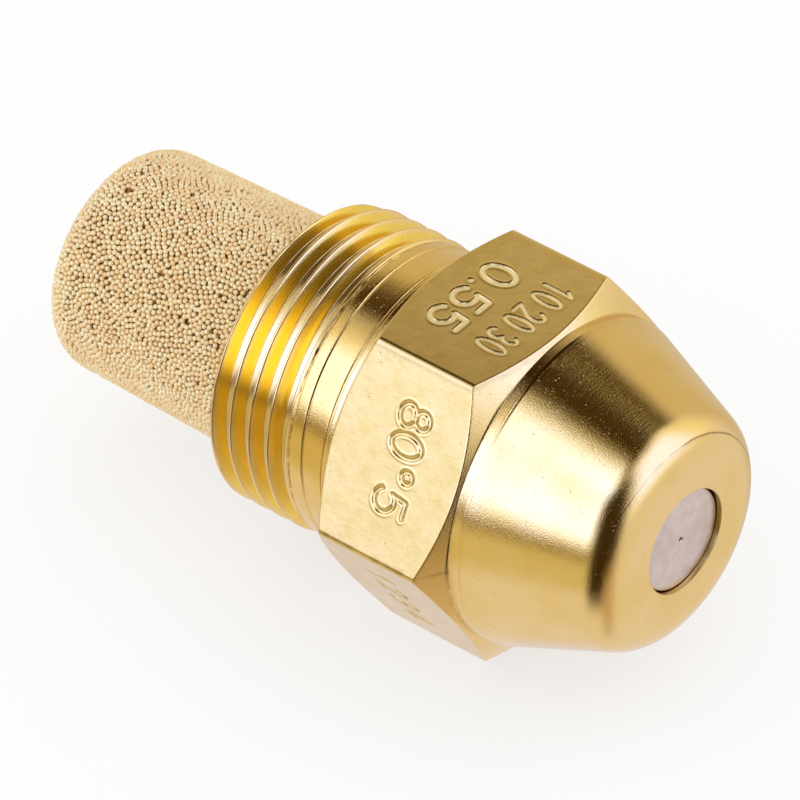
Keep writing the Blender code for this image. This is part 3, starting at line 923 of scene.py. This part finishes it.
class Nodes:
    """Adds shader nodes to a tree and links them."""

    def __init__(self, tree):
        self.tree = tree

    def add(self, kind, inputs=None, **settings):
        node = self.tree.nodes.new("ShaderNode" + kind)
        for key, value in settings.items():
            setattr(node, key, value)
        for key, value in (inputs or {}).items():
            self.give(node.inputs[key], value)
        return node

    def give(self, socket, value):
        if isinstance(value, bpy.types.NodeSocket):
            self.tree.links.new(value, socket)
        else:
            socket.default_value = value

    def math(self, operation, a, b=0.0, c=0.0):
        return self.add("Math", {0: a, 1: b, 2: c}, operation=operation).outputs[0]

    def layered(self, *parts):
        """The sum of some values, each times its weight."""
        total = 0.0
        for value, weight in parts:
            total = self.math("MULTIPLY_ADD", value, weight, total)
        return total

    def ramp(self, value, low, high, bottom=0.0, top=1.0):
        """value moved from low..high to bottom..top, smoothly and clamped."""
        inputs = {"Value": value, "From Min": low, "From Max": high, "To Min": bottom, "To Max": top}
        return self.add("MapRange", inputs, interpolation_type="SMOOTHSTEP").outputs[0]

    def mix(self, share, a, b):
        return self.add("Mix", {0: share, 6: a, 7: b}, data_type="RGBA").outputs[2]

    def noise(self, vector, scale, detail=2.0, roughness=0.5):
        inputs = {"Vector": vector, "Scale": scale, "Detail": detail, "Roughness": roughness}
        return self.add("TexNoise", inputs).outputs["Fac"]

    def stretched(self, vector, scale):
        return self.add("VectorMath", {0: vector, 1: scale}, operation="MULTIPLY").outputs[0]

    def attribute(self, name):
        return self.add("Attribute", attribute_name=name).outputs["Fac"]

    def place_in_mm(self):
        """Object coordinates in millimetres, with the axis through the origin."""
        place = self.add("TexCoord").outputs["Object"]
        sunk = {0: place, 1: (0, 0, -AXIS_HEIGHT)}
        moved = self.add("VectorMath", sunk, operation="ADD").outputs[0]
        return self.stretched(moved, (1 / MM, 1 / MM, 1 / MM))

    def turned_place(self, place):
        """A place's X and radius, and a vector along the turned outline for marks round the axis."""
        x, y, z = self.add("SeparateXYZ", {0: place}).outputs
        squares = self.math("ADD", self.math("MULTIPLY", y, y), self.math("MULTIPLY", z, z))
        radius = self.math("SQRT", squares)
        along = self.math("SUBTRACT", x, radius)
        return x, radius, self.add("CombineXYZ", {0: along, 1: y, 2: z}).outputs[0]

    def blotched(self, colour, spots, low, high, share, tint):
        """The colour, mixed with some of a tint where the spots rise from low to high."""
        return self.mix(self.ramp(spots, low, high, 0.0, share), colour, tint)

    def shaded_and_marked(self, colour):
        """The colour, darkened by the painted shade and marks kept with the mesh."""
        return self.mix(self.math("MULTIPLY", self.attribute("painted_shade_and_marks"), 0.85), colour, BRASS_DARK)

    def scratches(self, place):
        """Sparse thin scratches in two directions: 1 on a scratch, 0 beside it."""
        streaks = []
        for turn, size in (((0.3, 0.9, 0.2), (0.22, 9.0, 9.0)), ((1.2, 0.1, 0.8), (0.3, 12.0, 12.0))):
            inputs = {"Vector": place, "Rotation": turn}
            turned = self.add("VectorRotate", inputs, rotation_type="EULER_XYZ").outputs[0]
            streak = self.noise(self.stretched(turned, size), 1.0, 1.0)
            streaks.append((self.ramp(streak, 0.74, 0.80), 1.0))
        return self.layered(*streaks)

    def plug(self, **values):
        """Gives values to the shader's inputs, which are named with _ for a space."""
        shader = self.tree.nodes["Principled BSDF"]
        for key, value in values.items():
            self.give(shader.inputs[key.replace("_", " ")], value)

    def surface(self, colour, rough, height, distance):
        """Plugs in a colour, a roughness and a bump, whose height is in units of the distance."""
        bump = self.add("Bump", {"Height": height, "Distance": distance, "Strength": 1.0})
        self.plug(Base_Color=colour, Roughness=rough, Normal=bump.outputs[0])

    def shine_round_axis(self, anisotropy):
        """Spreads the highlights as fine lathe marks do."""
        tangent = self.add("Tangent", direction_type="RADIAL", axis="X").outputs[0]
        self.plug(Anisotropic=anisotropy, Anisotropic_Rotation=0.25, Tangent=tangent)


def new_material(name, metallic):
    material = bpy.data.materials.new(name)
    material.use_nodes = True
    nodes = Nodes(material.node_tree)
    nodes.plug(Metallic=metallic)
    return material, nodes


def turned_brass(name, pale, warm, dull):
    """Satin brass with fine marks round the axis, left by the lathe tool."""
    material, nodes = new_material(name, 1.0)
    place = nodes.place_in_mm()
    _, _, lathe = nodes.turned_place(place)
    fine = nodes.noise(nodes.stretched(lathe, (13, 0.5, 0.5)), 1.0, 3.0, 0.6)
    broad = nodes.noise(nodes.stretched(lathe, (4.5, 0.12, 0.12)), 1.0, 2.0)
    cloud = nodes.noise(place, 0.35, 3.0)
    grain = nodes.noise(place, 15.0, 3.0, 0.65)
    colour = nodes.mix(nodes.ramp(cloud, 0.35, 0.7), pale, warm)
    colour = nodes.blotched(colour, nodes.noise(place, 1.6, 4.0), 0.62, 0.85, 0.35, BRASS_STAIN)
    tool_marks = nodes.ramp(fine, 0.3, 0.75, dull, dull + 0.05)
    rough = nodes.math("ADD", tool_marks, nodes.ramp(grain, 0.3, 0.8, -0.02, 0.03))
    height = nodes.layered((fine, 0.8), (broad, 0.4), (grain, 2.0), (nodes.scratches(place), -3.0))
    nodes.surface(nodes.shaded_and_marked(colour), rough, height, 0.0000035)
    nodes.shine_round_axis(0.4)
    return material


def flat_brass():
    """Drawn bar: faint lines along the axis, cloudy tarnish, tiny dents and a painted pale highlight in the
    upper flat's figures.
    """
    material, nodes = new_material("flat_brass", 1.0)
    place = nodes.place_in_mm()
    drawn = nodes.noise(nodes.stretched(place, (0.35, 9, 9)), 1.0, 3.0, 0.6)
    cloud = nodes.noise(place, 0.8, 4.0, 0.55)
    waves = nodes.noise(place, 1.7, 2.0)
    grain = nodes.noise(place, 14.0, 3.0)
    stamped = nodes.attribute("stamped")
    colour = nodes.mix(nodes.ramp(cloud, 0.35, 0.7), FLAT_PALE, FLAT_WARM)
    colour = nodes.blotched(colour, nodes.noise(place, 2.6, 5.0, 0.65), 0.56, 0.8, 0.25, BRASS_STAIN)
    # Painted highlight: the upper flat's figures are mixed to a pale, less metallic colour.
    colour = nodes.mix(nodes.math("MULTIPLY", stamped, 0.8), colour, STAMP_PAINTED_HIGHLIGHT)
    rough = nodes.layered(
        (nodes.ramp(cloud, 0.3, 0.7, 0.17, 0.21), 1.0),
        (nodes.ramp(grain, 0.3, 0.8, -0.03, 0.04), 1.0),
        (stamped, 0.12),
    )
    height = nodes.layered((waves, 2.5), (grain, 0.3), (drawn, 0.5), (nodes.scratches(place), -3.0))
    nodes.surface(nodes.shaded_and_marked(colour), rough, height, 0.000002)
    nodes.plug(Metallic=nodes.ramp(stamped, 0.0, 1.0, 1.0, 0.25))
    return material


def thread_brass():
    """Burnished brass of the thread, painted a deeper amber on the flanks up to the run-out for light
    bounced between them.
    """
    material, nodes = new_material("thread_brass", 0.93)
    place = nodes.place_in_mm()
    x, radius, lathe = nodes.turned_place(place)
    marks = nodes.noise(nodes.stretched(lathe, (14, 0.3, 0.3)), 1.0, 3.0, 0.6)
    flank = nodes.math("MULTIPLY", nodes.ramp(radius, 6.56, 6.66), nodes.ramp(radius, 6.9, 7.12, 1.0, 0.0))
    runout = (REAR_FACE + RUNOUT_START) / MM + 0.1
    flank = nodes.math("MULTIPLY", flank, nodes.ramp(x, runout, runout + 0.08, 1.0, 0.0))
    # Painted reflection: the flanks get the deep amber of light bounced between brass flanks.
    colour = nodes.mix(flank, BRASS_PALE, THREAD_PAINTED_BOUNCE)
    colour = nodes.blotched(colour, nodes.noise(place, 2.0, 4.0), 0.6, 0.8, 0.4, BRASS_STAIN)
    rough = nodes.ramp(marks, 0.3, 0.75, 0.14, 0.22)
    nodes.surface(nodes.shaded_and_marked(colour), rough, marks, 0.000003)
    return material


def disc_steel():
    """Faced stainless steel: fine circles about the orifice."""
    material, nodes = new_material("disc_steel", 1.0)
    place = nodes.place_in_mm()
    _, _, lathe = nodes.turned_place(place)
    marks = nodes.noise(nodes.stretched(lathe, (30, 0.4, 0.4)), 1.0, 3.0, 0.6)
    colour = nodes.mix(nodes.ramp(nodes.noise(place, 2.2, 3.0), 0.3, 0.7), STEEL_PALE, STEEL_DULL)
    nodes.surface(colour, nodes.ramp(marks, 0.3, 0.75, 0.30, 0.42), marks, 0.0000015)
    nodes.shine_round_axis(0.6)
    return material


def sintered_bead(name, dull, pale):
    """Bronze beads: each a little lighter, redder or duller than the next."""
    material, nodes = new_material(name, 0.30)
    place = nodes.place_in_mm()
    colour = nodes.mix(nodes.ramp(nodes.attribute("bead_tone"), 0.0, 1.0), dull, pale)
    rusty = nodes.mix(0.5, dull, BEAD_REDDISH)
    colour = nodes.blotched(colour, nodes.noise(place, 0.5, 3.0), 0.5, 0.8, 0.4, rusty)
    grain = nodes.noise(place, 30.0, 2.0)
    nodes.surface(colour, nodes.ramp(grain, 0.3, 0.7, 0.38, 0.50), grain, 0.000003)
    return material


def sintered_core_painted_shade():
    """The inside of the filter's wall, seen between the beads, painted dark as shade."""
    material, nodes = new_material("sintered_core_painted_shade", 0.3)
    grain = nodes.noise(nodes.place_in_mm(), 9.0, 3.0)
    colour = nodes.mix(nodes.ramp(grain, 0.3, 0.7), PORE_SHADE_DARK, PORE_SHADE_PALE)
    nodes.surface(colour, nodes.ramp(grain, 0.3, 0.7, 0.6, 0.8), grain, 0.00003)
    return material


# ---- studio

FLOOR_SIZE = 6.0
FLOOR_GLOW = 0.68
FLOOR_PALE = (0.985, 0.985, 0.985, 1)
WHITE = (1.0, 1.0, 1.0, 1)


def add_floor():
    """A pale floor that the camera sees nearly white, with the object's shadow on it."""
    corners = [(x * FLOOR_SIZE / 2, y * FLOOR_SIZE / 2, 0) for x, y in ((-1, -1), (1, -1), (1, 1), (-1, 1))]
    mesh = bpy.data.meshes.new("studio_floor")
    mesh.from_pydata(corners, [], [(0, 1, 2, 3)])
    floor = bpy.data.objects.new("studio_floor", mesh)
    bpy.context.scene.collection.objects.link(floor)
    floor.visible_glossy = False
    material, nodes = new_material("pale_floor", 0.0)
    grain = nodes.noise(nodes.add("TexCoord").outputs["Object"], 40.0, 2.0)
    nodes.plug(Base_Color=nodes.mix(grain, FLOOR_PALE, WHITE), Roughness=0.9, Specular_IOR_Level=0.0)
    seen = nodes.add("LightPath").outputs["Is Camera Ray"]
    lit = nodes.tree.nodes["Principled BSDF"].outputs[0]
    glow = nodes.add("Emission").outputs[0]
    mixed = nodes.add("MixShader", {0: nodes.math("MULTIPLY", seen, FLOOR_GLOW), 1: lit, 2: glow})
    nodes.give(nodes.tree.nodes["Material Output"].inputs["Surface"], mixed.outputs[0])
    mesh.materials.append(material)


FILL = (0.82, 0.79, 0.88, 1)
BACK = (0.68, 0.61, 0.50, 1)
SHADE = (0.70, 0.64, 0.44, 1)
DARK = (0.040, 0.024, 0.006, 1)
GAP_LOW = (0.60, 0.48, 0.37, 1)
CEILING = (0.045, 0.022, 0.003, 1)
HORIZON = (0.15, 0.09, 0.02, 1)
SOFTBOX = (1.02, 1.00, 0.86, 1)
LEFT_LAMP = (1.58, 1.92, 4.1, 1)
RIGHT_LAMP = (1.22, 1.42, 2.95, 1)

# Each card covers azimuths and elevations in degrees about the object, and has an edge as soft
# across and up as its next two numbers.
CARDS = {
    "near floor": ((-140, -60), (-33, 2), 8, 5, SHADE),
    "back wall": ((82, 200), (-46, 46), 10, 8, BACK),
    "back ceiling, right": ((62, 116), (40, 120), 6, 4, CEILING),
    "back ceiling, left": ((110, 200), (43.5, 120), 6, 5, CEILING),
    "ceiling": ((-400, 400), (60, 120), 5, 5, CEILING),
    "front gap": ((-61, -8), (-45, 66), 6, 12, DARK),
    "front gap, low": ((-24, 0), (-80, -24), 7, 15, GAP_LOW),
    "left softbox": ((-162, -63), (5.5, 54), 6, 4, SOFTBOX),
    "left lamp": ((-155, -66), (9, 47.5), 6, 5.5, LEFT_LAMP),
    "overhead softbox": ((-92, -26), (52, 84), 14, 6, SOFTBOX),
    "overhead lamp": ((-86, -46), (48, 75), 10, 6, LEFT_LAMP),
    "right softbox": ((-5, 72), (-3, 57), 5, 6, SOFTBOX),
    "right lamp": ((0, 52), (3, 51), 6, 6, RIGHT_LAMP),
    "horizon": ((-180, -64), (-4, 3), 3, 2.2, HORIZON),
}


def band(nodes, value, low, high, soft):
    """1 where a value lies between low and high, with soft ends."""
    rise = nodes.ramp(value, low - soft, low + soft)
    return nodes.math("MULTIPLY", rise, nodes.ramp(value, high - soft, high + soft, 1.0, 0.0))


def add_studio():
    """A world that is white to the eye and that the object mirrors as softboxes and walls."""
    world = bpy.data.worlds.new("studio")
    bpy.context.scene.world = world
    world.use_nodes = True
    nodes = Nodes(world.node_tree)
    direction = nodes.add("TexCoord").outputs["Generated"]
    x, y, z = nodes.add("SeparateXYZ", {0: direction}).outputs
    azimuth = nodes.math("DEGREES", nodes.math("ARCTAN2", y, x))
    elevation = nodes.math("DEGREES", nodes.math("ARCSINE", z))
    colour = FILL
    for across, up, soft_across, soft_up, tint in CARDS.values():
        beside = band(nodes, azimuth, *across, soft_across)
        share = nodes.math("MULTIPLY", beside, band(nodes, elevation, *up, soft_up))
        colour = nodes.mix(share, colour, tint)
    mirrored = nodes.add("LightPath").outputs["Is Glossy Ray"]
    nodes.give(world.node_tree.nodes["Background"].inputs["Color"], nodes.mix(mirrored, WHITE, colour))


def add_camera():
    """A long lens, looking down on the spray end from the front left."""
    azimuth, elevation, roll = math.radians(-48.42), math.radians(40.81), math.radians(2.91)
    distance = 0.42
    target = Vector((-0.00122, 0.00162, 0.00579))
    out = math.cos(elevation)
    away = Vector((out * math.cos(azimuth), out * math.sin(azimuth), math.sin(elevation)))
    level = Vector((0, 0, 1)).cross(away).normalized()
    upright = away.cross(level)
    turn = Matrix.Rotation(-roll, 3, away)
    right, up = turn @ level, turn @ upright
    camera = bpy.data.objects.new("camera", bpy.data.cameras.new("camera"))
    bpy.context.scene.collection.objects.link(camera)
    turned = Matrix((right, up, away)).transposed().to_4x4()
    camera.matrix_world = Matrix.Translation(target + away * distance) @ turned
    camera.data.lens = 427.5
    camera.data.sensor_width = 36.0
    camera.data.clip_start = 0.01
    bpy.context.scene.camera = camera


def main():
    turned = turned_brass("turned_brass", BRASS_PALE, BRASS_WARM, 0.105)
    shank = turned_brass("shank_brass", SHANK_PALE, SHANK_WARM, 0.09)
    flat, thread = flat_brass(), thread_brass()
    steel = disc_steel()
    make_body([turned, flat, thread, shank])
    make_disc(steel)
    outer = sintered_bead("sintered_bead", BEAD_DULL, BEAD_PALE)
    # The inner layer's bronze is painted dark brown as the shade between the outer beads.
    inner = sintered_bead("sintered_bead_inner_shaded", SHADED_BEAD_DULL, SHADED_BEAD_PALE)
    make_beads(outer, inner)
    make_filter_core(sintered_core_painted_shade())
    make_plug(thread)
    for name, material in (("swirl_cone", steel), ("retaining_screw", turned)):
        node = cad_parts[name]
        node.data.materials.clear()
        node.data.materials.append(material)
    add_floor()
    add_studio()
    add_camera()
    bpy.context.scene.view_settings.view_transform = "Standard"


main()
